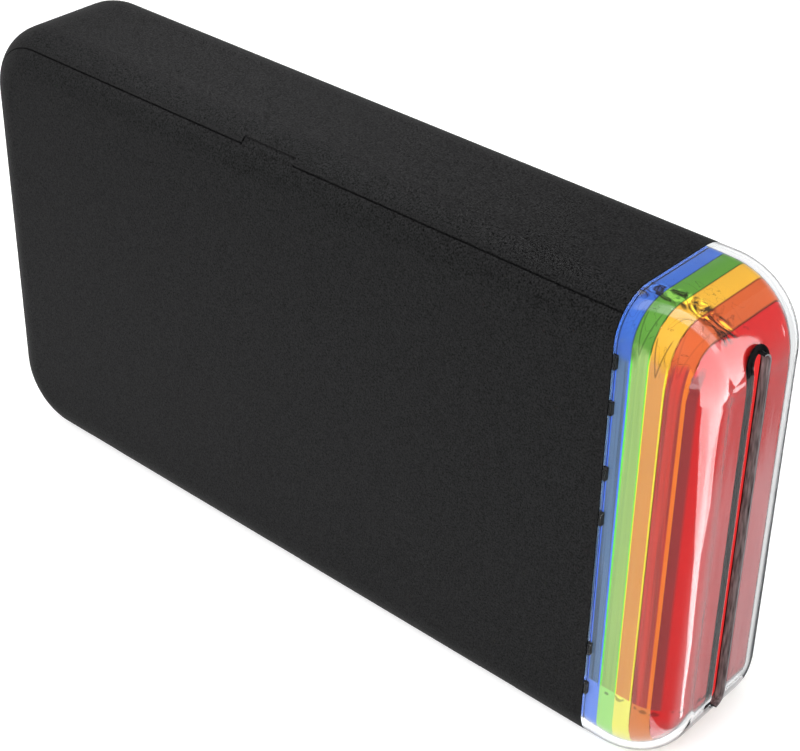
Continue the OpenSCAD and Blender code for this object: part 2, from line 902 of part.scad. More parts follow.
module mirror_z(s) {
    translate([0, 0, mid_z])
        mirror([0, 0, s < 0 ? 1 : 0])
            children();
}

module frame_screws() {
    color("silver")
    for (x = screw_x, s = [-1, 1])
        translate([x, floor_y, mid_z + s * screw_drop])
            rotate([-90, 0, 0])
                difference() {
                    union() {
                        translate([0, 0, -screw_head_t])
                            cylinder(h = screw_head_t, r = screw_head_r);
                        cylinder(h = screw_l, r = screw_r);
                    }
                    for (a = [0, 90])
                        rotate(a)
                            translate([-cross_l / 2, -cross_w / 2, -screw_head_t - cut])
                                cube([cross_l, cross_w, cut + cross_depth]);
                }
}

module main_board() {
    color("#1f5c3a")
    box([board_x0, board_y, mid_z - board_half], [board_x0 + board_l, board_top, mid_z + board_half]);
}

module board_components() {
    color("#18181a") {
        for (c = CHIPS)
            translate([board_x0 + c[0], board_top, mid_z + c[1]])
                cube([c[2], c[4], c[3]]);
        // Side-pushed switch behind the power button
        box([button_x1 + switch_gap + button_travel, board_y - switch_t, mid_z + button_rise - switch_half],
            [switch_x1, board_y, mid_z + button_rise + switch_half]);
    }
    color("ivory") {
        translate([plug_x1 - plug_l, board_top, mid_z - plug_half])
            cube([plug_l, plug_t, 2 * plug_half]);
        // Light source behind the status light
        translate([board_x0 + 2, board_y - 1.4, mid_z + status_rise - 1])
            cube([1.6, 1.4, 2]);
    }
}

module battery_pack() {
    color("#8f9bb0")
    box([battery_x0, battery_y, mid_z - battery_half],
        [battery_x0 + battery_l, battery_y + battery_t, mid_z + battery_half]);
}

module battery_lead() {
    for (s = [-1, 1])
        color(s < 0 ? "black" : "red")
        translate([plug_x1, board_top + plug_t / 2, mid_z + s * lead_pitch / 2])
            rotate([0, 90, 0])
                cylinder(h = battery_x0 - plug_x1, r = lead_r);
}

// Print mechanism

module plate_outline(high) {
    difference() {
        union() {
            translate([plate_x0, front_cut])
                square([plate_x1 - plate_x0, floor_y - front_cut]);
            translate([pivot_c[0] - ear_w, bracket_y + fit_gap])
                square([plate_x1 - pivot_c[0] + ear_w, ear_w]);
            translate([floor_x1 + fit_gap, floor_y - overlap])
                square([plate_x1 - floor_x1 - fit_gap, inner_back - plate_back_gap - floor_y + overlap]);
        }
        for (c = [platen_c, grip_c, pickup_c])
            translate(c)
                circle(bush_r + bush_fit);
        translate(pivot_c)
            circle(pivot_r);
        translate(pinch_c)
            circle(journal_r + journal_clear);
        if (high) {
            translate(motor_c)
                circle(motor_boss_r + fit_gap / 2);
            translate(takeup_c)
                circle(hub_r + journal_clear);
            translate([takeup_c[0] - hub_r - journal_clear, front_y])
                square([2 * (hub_r + journal_clear), takeup_c[1] - front_y]);
        }
    }
}

module lower_side_plate() {
    color("#b8bcc0")
    translate([0, 0, plate_low - plate_t])
        linear_extrude(plate_t)
            plate_outline(false);
}

module upper_side_plate() {
    color("#b8bcc0")
    translate([0, 0, plate_high])
        linear_extrude(plate_t)
            plate_outline(true);
}

module roller_bushes() {
    color("#e6dcc0")
    for (c = [platen_c, grip_c, pickup_c]) {
        tube(c, plate_low - plate_t, plate_low + bush_lip, bush_r, shaft_r + run_gap);
        tube(c, plate_high - bush_lip, plate_high + plate_t, bush_r, shaft_r + run_gap);
    }
}

module gear_studs() {
    color("silver") {
        for (c = [feed_c, reach_c, wind_c])
            rod(c, plate_high + plate_t, shaft_top, stud_r);
        rod(reduction_c, plate_high + plate_t, gear_high + gear_t, stud_r);
    }
}

module platen_shaft() {
    color("silver")
    rod(platen_c, shaft_foot, shaft_top, shaft_r);
}

module platen_rubber() {
    color("#303030")
    tube(platen_c, mid_z - roller_l / 2, mid_z + roller_l / 2, platen_r, shaft_r);
}

module platen_gear() {
    color("ivory")
    gear(platen_c, gear_low, platen_teeth, 0, shaft_r);
}

module grip_roller() {
    color("#9a9ea2") {
        rod(grip_c, mid_z - roller_l / 2, mid_z + roller_l / 2, grip_r);
        rod(grip_c, shaft_foot, shaft_top, shaft_r);
    }
}

module grip_gear() {
    color("ivory")
    gear(grip_c, gear_low, grip_teeth, grip_turn, shaft_r);
}

module pinch_roller() {
    color("silver") {
        rod(pinch_c, mid_z - roller_l / 2, mid_z + roller_l / 2, pinch_r);
        rod(pinch_c, plate_low - journal_end, plate_high + journal_end, journal_r);
    }
}

module pinch_holders() {
    color("ivory")
    for (z = [plate_low, plate_high - holder_t])
        difference() {
            box([pinch_c[0] - holder_w / 2, pinch_y - pinch_r, z],
                [pinch_c[0] + holder_w / 2, print_face - fit_gap / 2, z + holder_t]);
            rod(pinch_c, z - cut, z + holder_t + cut, journal_r + run_gap);
        }
}

module pickup_shaft() {
    color("silver")
    rod(pickup_c, shaft_foot, shaft_top, shaft_r);
}

module pickup_tyres() {
    color("#3a3a3a")
    for (s = [-1, 1])
        tube(pickup_c, mid_z + s * tyre_rise - tyre_l / 2, mid_z + s * tyre_rise + tyre_l / 2,
            pickup_r, shaft_r);
}

module pickup_gear() {
    color("ivory")
    gear(pickup_c, gear_low, pickup_teeth, pickup_turn, shaft_r);
}

module reduction_gear() {
    color("ivory") {
        gear(reduction_c, gear_low, small_teeth, reduction_turn, stud_r + run_gap);
        gear(reduction_c, gear_high, big_teeth, reduction_turn, stud_r + run_gap);
        tube(reduction_c, gear_low + gear_t - overlap, gear_high + overlap, stud_r + hub_wall,
            stud_r + run_gap);
    }
}

module feed_idler() {
    color("ivory")
    gear(feed_c, gear_low, feed_teeth, feed_turn, stud_r + run_gap);
}

module pickup_idler() {
    color("ivory")
    gear(reach_c, gear_low, reach_teeth, reach_turn, stud_r + run_gap);
}

module takeup_idler() {
    color("ivory")
    gear(wind_c, gear_low, wind_teeth, wind_turn, stud_r + run_gap);
}

module drive_motor() {
    color("#a8acb0")
    difference() {
        union() {
            rod(motor_c, plate_high - motor_l, plate_high, motor_r);
            rod(motor_c, plate_high - motor_l - motor_end_l, plate_high - motor_l, motor_end_r);
            rod(motor_c, plate_high - overlap, plate_high + plate_t, motor_boss_r);
        }
        rod(motor_c, plate_high - spindle_sink - fit_gap / 2, plate_high + plate_t + cut,
            spindle_r + run_gap);
    }
}

module motor_pinion() {
    color("goldenrod") {
        gear(motor_c, gear_high, pinion_teeth, motor_turn, pinion_bore);
        rod(motor_c, plate_high - spindle_sink, gear_high + gear_t, spindle_r);
    }
}

module head_bracket() {
    color("#c4c8cc") {
        box([head_x0, bracket_y, plate_low + bracket_gap],
            [head_x1, bracket_y + bracket_t, plate_high - bracket_gap]);
        for (s = [-1, 1])
            mirror_z(s)
                translate([0, 0, plate_span / 2 - bracket_gap - bracket_t])
                    linear_extrude(bracket_t)
                        difference() {
                            union() {
                                translate([head_x0, bracket_y])
                                    square([pivot_c[0] - head_x0, bracket_arm_w]);
                                translate(pivot_c)
                                    circle(bracket_eye_r);
                            }
                            translate(pivot_c)
                                circle(pivot_r + run_gap);
                        }
    }
}

module head_heat_sink() {
    color("#8c9094")
    difference() {
        box([head_x0 + sink_edge, sink_y, mid_z - roller_l / 2],
            [head_x1 - sink_edge, head_y, mid_z + roller_l / 2]);
        for (k = [0 : 2])
            translate([head_x0 + fin_edge + fin_pitch * k, sink_y + sink_web[0], mid_z - roller_l / 2 - cut])
                cube([fin_w, head_y - sink_y - sink_web[0] - sink_web[1], roller_l + 2 * cut]);
    }
}

module thermal_head() {
    color("#d8d0b8") {
        box([head_x0, head_y, mid_z - roller_l / 2], [head_x1, head_y + head_t, mid_z + roller_l / 2]);
        rod([platen_c[0], head_y + head_t], mid_z - roller_l / 2, mid_z + roller_l / 2, head_line_r);
    }
}

module bracket_pins() {
    color("silver")
    for (s = [-1, 1])
        mirror_z(s)
            rod(pivot_c, plate_span / 2 - pin_reach, plate_span / 2 + plate_t, pivot_r);
}

module bracket_springs() {
    color("#8a8e92")
    for (s = [-1, 1], k = [0 : 2])
        mirror_z(s)
            translate([pivot_c[0], pivot_c[1], plate_span / 2 - coil_start - coil_pitch * k])
                rotate_extrude()
                    translate([pivot_r + coil_wire + run_gap, 0])
                        circle(coil_wire);
}

module cover_sensor() {
    color("#18181a")
    translate([sensor_x - sensor_half, front_cut + fit_gap, plate_high - sensor_t])
        cube([2 * sensor_half, sensor_l, sensor_t]);
}

// Cartridge

module cartridge_tub() {
    z = tub_half;
    color("#35373a")
    difference() {
        union() {
            box([tub_x0, tub_y, mid_z - z], [tub_x1, tub_floor + tub_floor_t, mid_z + z]);
            for (s = [-1, 1])
                mirror_z(s) {
                    box([tub_x1 - overlap, tub_y, z - cartridge_wall], [arm_x1, arm_y, z]);
                    for (x = bar_x)
                        box([x - post_w / 2, arm_y - overlap, z - cartridge_wall],
                            [x + post_w / 2, bar_y + bar_r, z]);
                }
            box([arm_x1 - tie_t, takeup_c[1] - tie_w, mid_z - z + overlap],
                [arm_x1, takeup_c[1], mid_z + z - overlap]);
            for (x = bar_x)
                rod([x, bar_y], mid_z - z + bar_sink, mid_z + z - bar_sink, bar_r);
        }
        box([tub_x0 + cartridge_wall, tub_y - cut, mid_z - z + cartridge_wall],
            [tub_x1 - cartridge_wall, tub_floor, mid_z + z - cartridge_wall]);
        // Exit slit and the windows of the pick-up tyres
        box([tub_x1 - cartridge_wall - cut, tub_floor - exit_drop, mid_z - paper_w / 2 - exit_play],
            [tub_x1 + cut, tub_floor + exit_play, mid_z + paper_w / 2 + exit_play]);
        for (s = [-1, 1])
            box([pickup_c[0] - pickup_r, tub_floor - cut, mid_z + s * tyre_rise - tyre_l / 2 - window_play],
                [pickup_c[0] + pickup_r, tub_floor + tub_floor_t + cut,
                    mid_z + s * tyre_rise + tyre_l / 2 + window_play]);
        // Bearings of the spools
        for (c = [supply_c, takeup_c])
            rod(c, 0, body_h, hub_r + run_gap);
    }
}

module cartridge_lid() {
    color("#2e3033")
    box([tub_x0, lid_y, mid_z - tub_half], [tub_x1, tub_y, mid_z + tub_half]);
}

module pressure_plate() {
    color("#55585c")
    box([stack_x0, pressure_y - pressure_t, mid_z - paper_w / 2],
        [stack_x1, pressure_y, mid_z + paper_w / 2]);
}

module pressure_spring() {
    y1 = pressure_y - pressure_t;
    low = [for (s = spring_flats) s - (s == spring_flats[2] ? 0 : spring_t / 2)];
    color("#a0a4a8")
    translate([(stack_x0 + stack_x1) / 2, 0, mid_z - spring_w / 2])
        linear_extrude(spring_w)
            polygon([[-spring_flats[2], y1 - spring_t], [-spring_flats[1], y1 - spring_t],
                [-spring_flats[0], tub_y], [spring_flats[0], tub_y],
                [spring_flats[1], y1 - spring_t], [spring_flats[2], y1 - spring_t],
                [low[2], y1], [low[1], y1], [low[0], tub_y + spring_t],
                [-low[0], tub_y + spring_t], [-low[1], y1], [-low[2], y1]]);
}

module paper_stack() {
    color("white")
    box([stack_x0, feed_face - stack_t, mid_z - paper_w / 2], [stack_x1, feed_face, mid_z + paper_w / 2]);
}

module spool(c, low, high) {
    tube(c, mid_z - spool_half, mid_z + spool_half, core_r, hub_bore);
    for (z = [mid_z - spool_half, mid_z + spool_half - rim_t])
        tube(c, z, z + rim_t, flange_r, hub_bore);
    tube(c, low, high, hub_r, hub_bore);
}

module supply_spool() {
    color("#dcdcd8")
    spool(supply_c, mid_z - tub_half, mid_z + tub_half);
}

module takeup_spool() {
    color("#dcdcd8") {
        spool(takeup_c, mid_z - tub_half, shaft_top);
        gear(takeup_c, gear_low, takeup_teeth, takeup_turn, hub_r - overlap);
    }
}

module supply_ribbon() {
    color("#c8a020")
    tube(supply_c, mid_z - ribbon_half, mid_z + ribbon_half, supply_r, core_r);
}

module takeup_ribbon() {
    color("#7a2848")
    tube(takeup_c, mid_z - ribbon_half, mid_z + ribbon_half, takeup_r, core_r);
}

function touch(c, r, from, side) =
    let (d = from - c, a = atan2(d[1], d[0]) + side * acos(r / norm(d)))
        c + r * [cos(a), sin(a)];

module strip(a, b) {
    d = b - a;
    translate(a)
        rotate(atan2(d[1], d[0]))
            translate([0, -ribbon_t / 2])
                square([norm(d), ribbon_t]);
}

module ribbon_web() {
    p1 = [bar_x[0] - bar_shift[0], ribbon_y];
    p2 = [bar_x[1] + bar_shift[1], ribbon_y];
    color("#b83870")
    translate([0, 0, mid_z - ribbon_half])
        linear_extrude(2 * ribbon_half) {
            strip(touch(supply_c, supply_r + ribbon_gap, p1, -1), p1);
            strip(p1 - [overlap, 0], p2 + [overlap, 0]);
            strip(p2, touch(takeup_c, takeup_r + ribbon_gap, p2, -1));
        }
}

base_shell();
cartridge_cover();
hinge_pin();
cover_magnet();
end_frame();
clear_end_cap();
blue_ring();
green_ring();
yellow_ring();
orange_ring();
red_end_insert();
slot_bezel();
exit_guide();
feed_guide();
power_button();
status_light();
usb_socket();
chassis_frame();
frame_screws();
main_board();
board_components();
battery_pack();
battery_lead();
lower_side_plate();
upper_side_plate();
roller_bushes();
gear_studs();
platen_shaft();
platen_rubber();
platen_gear();
grip_roller();
grip_gear();
pinch_roller();
pinch_holders();
pickup_shaft();
pickup_tyres();
pickup_gear();
reduction_gear();
feed_idler();
pickup_idler();
takeup_idler();
drive_motor();
motor_pinion();
head_bracket();
head_heat_sink();
thermal_head();
bracket_pins();
bracket_springs();
cover_sensor();
cartridge_tub();
cartridge_lid();
pressure_plate();
pressure_spring();
paper_stack();
supply_spool();
supply_ribbon();
takeup_spool();
takeup_ribbon();
ribbon_web();
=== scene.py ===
import json
import math

import bmesh
import bpy
from mathutils import Matrix, Vector


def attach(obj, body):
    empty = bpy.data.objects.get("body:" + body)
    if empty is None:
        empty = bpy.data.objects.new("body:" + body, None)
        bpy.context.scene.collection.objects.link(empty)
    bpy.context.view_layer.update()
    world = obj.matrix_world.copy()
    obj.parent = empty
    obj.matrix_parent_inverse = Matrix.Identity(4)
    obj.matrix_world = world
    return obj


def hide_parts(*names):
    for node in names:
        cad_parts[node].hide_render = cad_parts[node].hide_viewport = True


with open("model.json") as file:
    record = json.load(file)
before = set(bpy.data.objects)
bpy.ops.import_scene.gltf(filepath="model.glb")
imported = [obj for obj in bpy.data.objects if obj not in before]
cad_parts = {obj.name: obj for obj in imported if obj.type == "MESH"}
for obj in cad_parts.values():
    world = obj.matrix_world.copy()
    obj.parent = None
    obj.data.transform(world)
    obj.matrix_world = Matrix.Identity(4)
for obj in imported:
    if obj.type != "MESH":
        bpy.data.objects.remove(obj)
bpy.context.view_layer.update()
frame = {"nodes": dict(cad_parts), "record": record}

MM = 0.001
RECORD = frame["record"]
NODES = frame["nodes"]


# Sizes of the outer pieces, in millimetres

BODY = (150.0, 27.4, 80.0)
END_X = BODY[0] / 2
CORNER_R, EDGE_R = 12.6, 6.9
SEAM_Y, FAR_AWAY = -12.1, 1000.0
CAP_START, CAP_WALL = 59.58, 1.3
RING_OUT, RING_IN, RING_GAP = 1.45, 2.65, 0.03
GREEN_X, YELLOW_X, ORANGE_X, RED_X = 61.9, 64.77, 67.64, 70.51
SLOT_Y, SLOT_Z, SLOT_W, SLOT_L = -0.45, 40.45, 3.3, 62.9
COLLAR_WALL, COLLAR_SINK = 0.25, 0.05
FLANGE_W, FLANGE_T, FLANGE_GAP = 0.8, 0.35, 0.05
FLANGE_TOP = END_X - RING_OUT
FLANGE_FOOT = FLANGE_TOP - FLANGE_T
PATH_Y, PATH_W, PATH_L = -1.25, 1.7, 57.0
PAD_TOP, PAD_ROOT, PAD_GAP = 73.38, 0.1, 0.02

# How finely the round forms are cut, and how closely a face has to lie to be chosen

CORNER_STEPS, EDGE_STEPS, SLOT_STEPS = 26, 14, 16
SMOOTH_ANGLE = math.radians(35)
TOUCH = 0.02

# Marks in the coloured bands, in millimetres; among them are painted shade, painted highlights
# and painted reflections. Each pair is where a mark begins to show or to fade and where it has
# done so; a pair of pairs is both. The painted refraction marks lie further back towards the end
# of the body: by -DRIFT for each millimetre, counted from DRIFT_START.

SIDE_FOOT, SIDE_TOP, SIDE_EDGE = (13.6, 13.9), (71.2, 73.6), (8.5, 10.5)
FOOT_LIGHT_FADE = (30.0, 50.0)
# The painted reflection on the end face: where it begins along the body, where it fades out
# upwards, and how it grows across
REFLECTION_START, REFLECTION_TOP, REFLECTION_ACROSS = (72.2, 73.3), (46.0, 62.0), (-3.0, 4.0)
DRIFT, DRIFT_START = -0.24, 60.7
REFRACTION_BAND, STRIPE_REFLECTION_BAND = ((-8.8, -7.6), (-5.6, -4.4)), ((-10.3, -10.0), (-8.8, -8.5))
REFRACTION_FOOT, STRIPE_REFLECTION_FOOT, REFRACTION_END = (71.5, 73.5), (71.0, 73.0), (70.8, 71.6)
SHADE_LINE_FOOT, SHADE_LINE_END = (65.5, 73.5), (-1.2, 0.2)
LOOP_HEIGHT, LOOP_END = 5.0, (-7.5, -6.5)
LOOP_MIDDLE, LOOP_SPREAD = 0.42, 0.32
TICK_BAND = ((12.4, 12.6), (13.4, 13.6))
JOINT_WIDTH, JOINT_FOOT = (0.06, 0.14), (71.0, 75.0)
# Colours of the painted pink reflection, the painted white reflection stripe, the painted
# refraction shade, and the near black of the painted shade and dark marks
REFLECTION_PINK, STRIPE_REFLECTION, SHADE_BROWN, SHADE_AND_MARKS = ((0.86, 0.6, 0.62, 1), (0.8, 0.8, 0.8, 1), (0.03, 0.01, 0.005, 1),
                           (0.015, 0.012, 0.01, 1))


# Camera

CAMERA_TURN, CAMERA_RISE, CAMERA_ROLL = 41.269, 33.388, 1.029
CAMERA_TARGET, CAMERA_DISTANCE = (9.749, 0, 39.317), 316.29
LENS_LENGTH, SENSOR_WIDTH = 88.36, 36


def aim_camera():
    """The camera stands to the right and above, with a slight roll."""
    turn, rise, roll = (math.radians(a) for a in (CAMERA_TURN, CAMERA_RISE, CAMERA_ROLL))
    back = Vector((
        math.sin(turn) * math.cos(rise),
        -math.cos(turn) * math.cos(rise),
        math.sin(rise),
    ))
    level = Vector((0, 0, 1)).cross(back).normalized()
    upright = back.cross(level)
    side = level * math.cos(roll) + upright * math.sin(roll)
    up = upright * math.cos(roll) - level * math.sin(roll)
    place = Vector(CAMERA_TARGET) * MM + back * (CAMERA_DISTANCE * MM)
    lens = bpy.data.cameras.new("camera")
    lens.sensor_width = SENSOR_WIDTH
    lens.lens = LENS_LENGTH
    lens.clip_start = 0.01
    camera = bpy.data.objects.new("camera", lens)
    camera.matrix_world = Matrix((
        (side.x, up.x, back.x, place.x),
        (side.y, up.y, back.y, place.y),
        (side.z, up.z, back.z, place.z),
        (0, 0, 0, 1),
    ))
    bpy.context.scene.collection.objects.link(camera)
    bpy.context.scene.camera = camera


# Node helpers

COLOUR, VALUE, VECTOR = "NodeSocketColor", "NodeSocketFloat", "NodeSocketVector"
SURFACE = (("Colour", COLOUR), ("Roughness", VALUE), ("Normal", VECTOR))
GREY, WHITE = (0.5, 0.5, 0.5, 1), (1, 1, 1, 1)


def new_group(name, inputs):
    """A shader node group that puts out a surface's colour, roughness and normal."""
    tree = bpy.data.node_groups.new(name, "ShaderNodeTree")
    for label, kind, value in inputs:
        socket = tree.interface.new_socket(name=label, in_out="INPUT", socket_type=kind)
        socket.default_value = value
    for label, kind in SURFACE:
        tree.interface.new_socket(name=label, in_out="OUTPUT", socket_type=kind)
    given, result = tree.nodes.new("NodeGroupInput"), tree.nodes.new("NodeGroupOutput")
    return tree, given.outputs, result.inputs


def new_material(name):
    material = bpy.data.materials.new(name)
    material.use_nodes = True
    material.node_tree.nodes.clear()
    return material, material.node_tree


def add(tree, kind, settings=None, **sockets):
    """A node with its settings and socket values; a value may be another node's output."""
    node = tree.nodes.new(kind)
    for key, value in (settings or {}).items():
        setattr(node, key, value)
    for key, value in sockets.items():
        by_number = key[0] == "i" and key[1:].isdigit()
        socket = node.inputs[int(key[1:]) if by_number else key.replace("_", " ")]
        fill_socket(tree, socket, value)
    return node


def fill_socket(tree, socket, value):
    if isinstance(value, bpy.types.NodeSocket):
        tree.links.new(value, socket)
    else:
        socket.default_value = value


def show(tree, shader, kind="ShaderNodeOutputMaterial"):
    """Makes a shader the result of a material or of the world."""
    tree.links.new(shader, add(tree, kind).inputs[0])


def math_node(tree, operation, *values):
    sockets = {f"i{number}": value for number, value in enumerate(values)}
    return add(tree, "ShaderNodeMath", {"operation": operation}, **sockets).outputs[0]


def map_range(tree, value, low, high, first=0.0, last=1.0, kind="LINEAR"):
    return add(tree, "ShaderNodeMapRange", {"interpolation_type": kind}, Value=value, From_Min=low,
               From_Max=high, To_Min=first, To_Max=last).outputs[0]


def mix_colours(tree, factor, a, b):
    node = add(tree, "ShaderNodeMix", {"data_type": "RGBA"})
    for number, value in ((0, factor), (6, a), (7, b)):
        fill_socket(tree, node.inputs[number], value)
    return node.outputs[2]


def toned(tree, colour, value):
    return add(tree, "ShaderNodeHueSaturation", Color=colour, Value=value).outputs[0]


def object_place(tree):
    return add(tree, "ShaderNodeTexCoord").outputs["Object"]


def separate(tree, place):
    axes = add(tree, "ShaderNodeSeparateXYZ", Vector=place).outputs
    return axes["X"], axes["Y"], axes["Z"]


def stretched(tree, place, factors):
    return add(tree, "ShaderNodeVectorMath", {"operation": "MULTIPLY"}, i0=place,
               i1=factors).outputs[0]


def noise(tree, place, scale, detail=2.0, **more):
    return add(tree, "ShaderNodeTexNoise", Vector=place, Scale=scale, Detail=detail,
               **more).outputs[0]


def swayed(tree, pattern, amount, base):
    """A base value that a pattern from 0 to 1 moves up and down by half the amount."""
    offset = math_node(tree, "SUBTRACT", pattern, 0.5)
    return math_node(tree, "MULTIPLY_ADD", offset, amount, base)


def bumped(tree, strength, depth, pattern):
    """A normal for a pattern of bumps; their depth is in millimetres."""
    return add(tree, "ShaderNodeBump", Strength=strength, Distance=depth * MM,
               Height=pattern).outputs[0]


def put_out(tree, result, *values):
    """Links a group's colour, roughness and normal to its outputs."""
    for (label, _), value in zip(SURFACE, values):
        tree.links.new(value, result[label])


# Shader groups

def moulded_grain():
    """Moulded plastic: a fine pebbled grain, a cloudy tone, an uneven sheen and a dark joint."""
    tree, given, result = new_group("Moulded Grain", [
        ("Colour", COLOUR, GREY), ("Tone", VALUE, 0.1), ("Speckle", VALUE, 0.1),
        ("Roughness", VALUE, 0.5), ("Unevenness", VALUE, 0.1), ("Grain Size", VALUE, 0.3),
        ("Grain Depth", VALUE, 0.2), ("Joint Place", VALUE, 1.0)])
    place = object_place(tree)
    across = separate(tree, place)[1]
    from_joint = math_node(tree, "SUBTRACT", across, given["Joint Place"])
    from_joint = math_node(tree, "ABSOLUTE", from_joint)
    joint = map_range(tree, from_joint, 0.04 * MM, 0.16 * MM, 0.35, 1.0)
    grains_per_metre = math_node(tree, "DIVIDE", 1 / MM, given["Grain Size"])
    pebbles = noise(tree, place, grains_per_metre, Roughness=0.6)
    clouds = noise(tree, place, 38.0, 3.0)
    tone = swayed(tree, clouds, given["Tone"], 1.0)
    speckled = swayed(tree, pebbles, given["Speckle"], tone)
    put_out(tree, result,
            toned(tree, given["Colour"], math_node(tree, "MULTIPLY", speckled, joint)),
            swayed(tree, clouds, given["Unevenness"], given["Roughness"]),
            bumped(tree, given["Grain Depth"], 0.12, pebbles))
    return tree


def drawn_lines():
    """Rolled, ground or drawn metal: fine lines along one direction."""
    tree, given, result = new_group("Drawn Lines", [
        ("Colour", COLOUR, GREY), ("Tone", VALUE, 0.1), ("Roughness", VALUE, 0.3),
        ("Unevenness", VALUE, 0.15), ("Stretch", VECTOR, (1, 1, 1)), ("Depth", VALUE, 0.1)])
    lines = noise(tree, stretched(tree, object_place(tree), given["Stretch"]), 2600.0)
    put_out(tree, result,
            toned(tree, given["Colour"], swayed(tree, lines, given["Tone"], 1.0)),
            swayed(tree, lines, given["Unevenness"], given["Roughness"]),
            bumped(tree, given["Depth"], 0.05, lines))
    return tree


def dyed_band():
    """A band of dyed clear plastic, painted in lit and shaded copies of its colour: unstreaked at
    the top and at the foot, which is brighter as painted light from below, and streaked on its flat
    sides. Its places are in millimetres."""
    tree, given, result = new_group("Dyed Band", [
        ("Top Colour", COLOUR, GREY), ("Side Colour", COLOUR, GREY), ("Foot Colour", COLOUR, GREY),
        ("Line Colour", COLOUR, GREY), ("Streak Colour", COLOUR, GREY),
        ("Glint Colour", COLOUR, GREY), ("Milk", VALUE, 0.0), ("Start", VALUE, 0.0),
        ("End", VALUE, 3.0), ("Start Line", VALUE, 0.3), ("End Line", VALUE, 0.3),
        ("Streaks", VALUE, 0.5), ("Loop Foot", VALUE, 64.0), ("Loop", VALUE, 0.3),
        ("Roughness", VALUE, 0.25)])
    place = object_place(tree)
    along, across, up = separate(tree, stretched(tree, place, (1 / MM, 1 / MM, 1 / MM)))

    def step(value, low, high, first=0.0, last=1.0):
        return map_range(tree, value, low, high, first, last, "SMOOTHSTEP")

    def fall(value, low, high):
        return step(value, low, high, 1.0, 0.0)

    def between(value, band):
        return times(step(value, *band[0]), fall(value, *band[1]))

    def less(a, b):
        return math_node(tree, "SUBTRACT", a, b)

    def ratio(a, b):
        return math_node(tree, "DIVIDE", a, b)

    def size_of(value):
        return math_node(tree, "ABSOLUTE", value)

    def times(*values):
        product = values[0]
        for value in values[1:]:
            product = math_node(tree, "MULTIPLY", product, value)
        return product

    swirl = noise(tree, place, 260.0, 3.0, Distortion=1.2)
    wavy_up = swayed(tree, swirl, 8.0, up)
    on_side = times(step(up, *SIDE_FOOT), fall(wavy_up, *SIDE_TOP),
                    step(size_of(across), *SIDE_EDGE))
    from_start, from_end = less(along, given["Start"]), less(given["End"], along)

    # Moulding streaks run up the flat sides, between two lines along the band's edges: painted
    # highlights on the rings, a darker red on the insert
    streaks = noise(tree, stretched(tree, place, (1.0, 0.15, 0.012)), 2400.0)
    streak = times(step(streaks, 0.42, 0.66), given["Streaks"])
    side = mix_colours(tree, streak, given["Side Colour"], given["Streak Colour"])
    inwards = math_node(tree, "MINIMUM", ratio(from_start, given["Start Line"]),
                        ratio(from_end, given["End Line"]))
    side = mix_colours(tree, fall(inwards, 0.7, 1.0), side, given["Line Colour"])

    # The end face has a painted reflection, pale pink and streaked, up to three quarters of its
    # height
    pull = noise(tree, stretched(tree, place, (1.0, 1.0, 0.04)), 900.0)
    milk = times(step(along, *REFLECTION_START), fall(swayed(tree, pull, 30.0, up), *REFLECTION_TOP),
                 step(pull, 0.2, 0.8, 0.6, 1.0), step(across, *REFLECTION_ACROSS, 0.55, 1.0),
                 given["Milk"])
    # Painted light: going up, the foot's brighter colour gives way to the top's; the flat sides get
    # their own lit and shaded copy of the colour
    plain = mix_colours(tree, step(up, *FOOT_LIGHT_FADE), given["Foot Colour"], given["Top Colour"])
    plain = mix_colours(tree, milk, plain, REFLECTION_PINK)
    colour = mix_colours(tree, on_side, plain, side)

    # Painted refraction marks where the top turns into the front: painted shade in dark folds and
    # deeper patches, and painted glints, with a faint painted reflection stripe before them
    drifted = math_node(tree, "MULTIPLY_ADD", less(along, DRIFT_START), DRIFT, across)
    before_end = fall(along, *REFRACTION_END)
    refraction_zone = times(between(drifted, REFRACTION_BAND), step(up, *REFRACTION_FOOT), before_end)
    ripples = noise(tree, place, 290.0, Distortion=2.6)
    refraction_shade = times(step(ripples, 0.48, 0.52), refraction_zone)
    deep_refraction_shade = times(step(ripples, 0.53, 0.57), fall(ripples, 0.63, 0.66), refraction_zone)
    glint = times(fall(ripples, 0.4, 0.44), refraction_zone)
    # A faint white painted reflection stripe along the band, before the refraction marks
    pale = times(between(drifted, STRIPE_REFLECTION_BAND), step(up, *STRIPE_REFLECTION_FOOT), before_end,
                 step(swirl, 0.35, 0.6, 0.04, 0.16))
    refraction_shade_colour = mix_colours(tree, 0.55, given["Top Colour"], SHADE_BROWN)
    colour = mix_colours(tree, refraction_shade, colour, refraction_shade_colour)
    colour = mix_colours(tree, glint, colour, given["Glint Colour"])
    colour = mix_colours(tree, pale, colour, STRIPE_REFLECTION)

    # Dark marks: thin painted shade lines of the refraction near the top, a narrow loop that hangs
    # from the top of each flat side, ticks along its foot, and the joint to the next band
    painted_shade_lines = times(fall(size_of(less(swirl, 0.5)), 0.002, 0.009), step(up, *SHADE_LINE_FOOT),
                  fall(drifted, *SHADE_LINE_END), 0.55)
    share = ratio(from_start, less(given["End"], given["Start"]))
    climb = ratio(less(up, given["Loop Foot"]), LOOP_HEIGHT)
    beside = less(size_of(less(share, LOOP_MIDDLE)), times(climb, LOOP_SPREAD))
    loop = times(fall(size_of(beside), 0.015, 0.05), between(climb, ((-0.05, 0.05), (0.95, 1.1))),
                 fall(across, *LOOP_END), given["Loop"])
    ticks = times(step(noise(tree, place, 900.0, 0.0), 0.6, 0.66), between(up, TICK_BAND), 0.6)
    joint = times(fall(math_node(tree, "MINIMUM", from_start, from_end), *JOINT_WIDTH),
                  step(up, *JOINT_FOOT), 0.6)
    dark = deep_refraction_shade
    for mark in (painted_shade_lines, loop, ticks, joint):
        dark = math_node(tree, "MAXIMUM", dark, mark)
